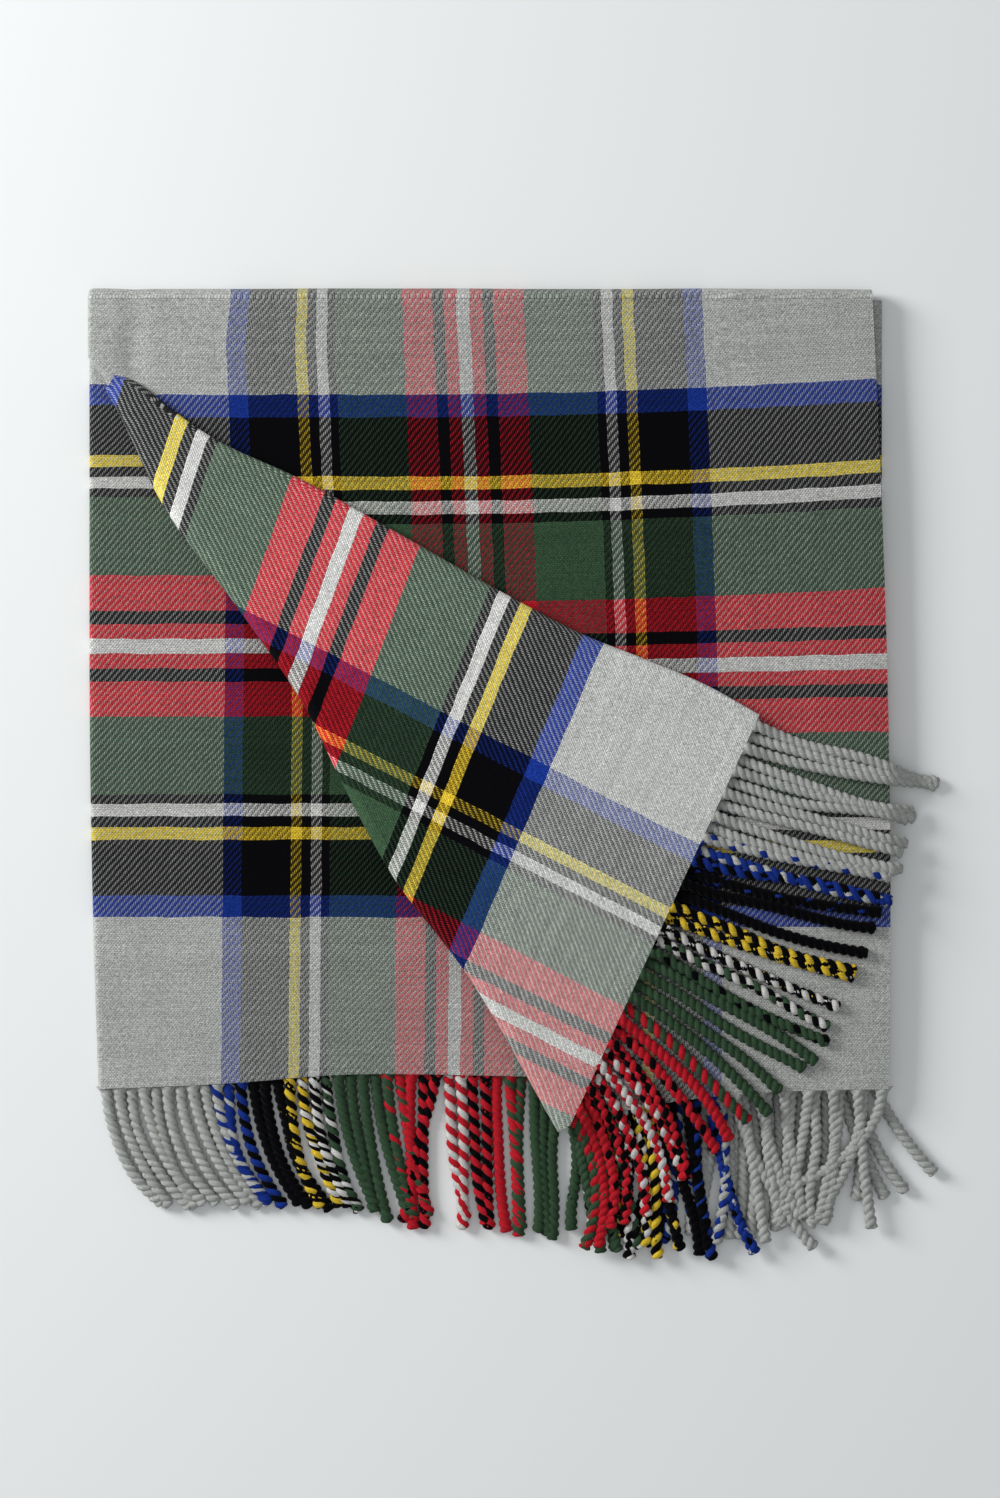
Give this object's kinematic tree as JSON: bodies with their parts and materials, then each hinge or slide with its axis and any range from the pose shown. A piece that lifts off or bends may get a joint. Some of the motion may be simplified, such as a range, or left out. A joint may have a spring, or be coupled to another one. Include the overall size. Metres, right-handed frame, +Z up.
{
  "type": "folded throw blanket",
  "caption": "Fringed tartan wool throw folded in quarters, upper half opens at the back fold, turned-over front corner opens at its crease, rests flat",
  "frame": {"origin": "centre of the underside of the folded stack, on the surface it lies on", "axes": "+X to the right, from the left side fold to the selvedges; +Y from the front hems to the back fold; +Z up"},
  "size_m": [0.7966, 0.9204, 0.032],
  "materials": {
    "tartan_cloth": "soft brushed two-and-two twill wool tartan in light grey, blue, black, yellow, white, green and red",
    "fringe_yarn": "two-ply twisted wool tassels, each in the colours of the warp ends it is made from"
  },
  "bodies": {
    "lower_half": {"bottom_layer": "tartan_cloth", "third_layer": "tartan_cloth", "lower_side_fold": "tartan_cloth", "bottom_fringe": "fringe_yarn", "third_fringe": "fringe_yarn", "back_fold_inner": "tartan_cloth", "back_fold_outer": "tartan_cloth"},
    "upper_half": {"second_layer": "tartan_cloth", "top_layer": "tartan_cloth", "upper_side_fold": "tartan_cloth", "second_fringe": "fringe_yarn", "top_fringe": "fringe_yarn", "corner_fold_inner": "tartan_cloth", "corner_fold_outer": "tartan_cloth"},
    "turned_corner": {"corner_lower_layer": "tartan_cloth", "corner_upper_layer": "tartan_cloth", "corner_edge_fold": "tartan_cloth", "corner_lower_fringe": "fringe_yarn", "corner_upper_fringe": "fringe_yarn"}
  },
  "joints": [
    {"name": "back_fold_hinge", "type": "hinge", "parent": "lower_half", "child": "upper_half", "pos_m": [0, 0.3654, 0.0106], "axis": [-1, 0, 0], "range_deg": [0, 165], "deforming": ["back_fold_inner", "back_fold_outer"]},
    {"name": "corner_crease_hinge", "type": "hinge", "parent": "upper_half", "child": "turned_corner", "pos_m": [0.07, -0.414, 0.0214], "axis": [0.5213, -0.8534, 0], "range_deg": [0, 180], "deforming": ["corner_fold_inner", "corner_fold_outer", "corner_lower_fringe", "corner_upper_fringe"]}
  ]
}
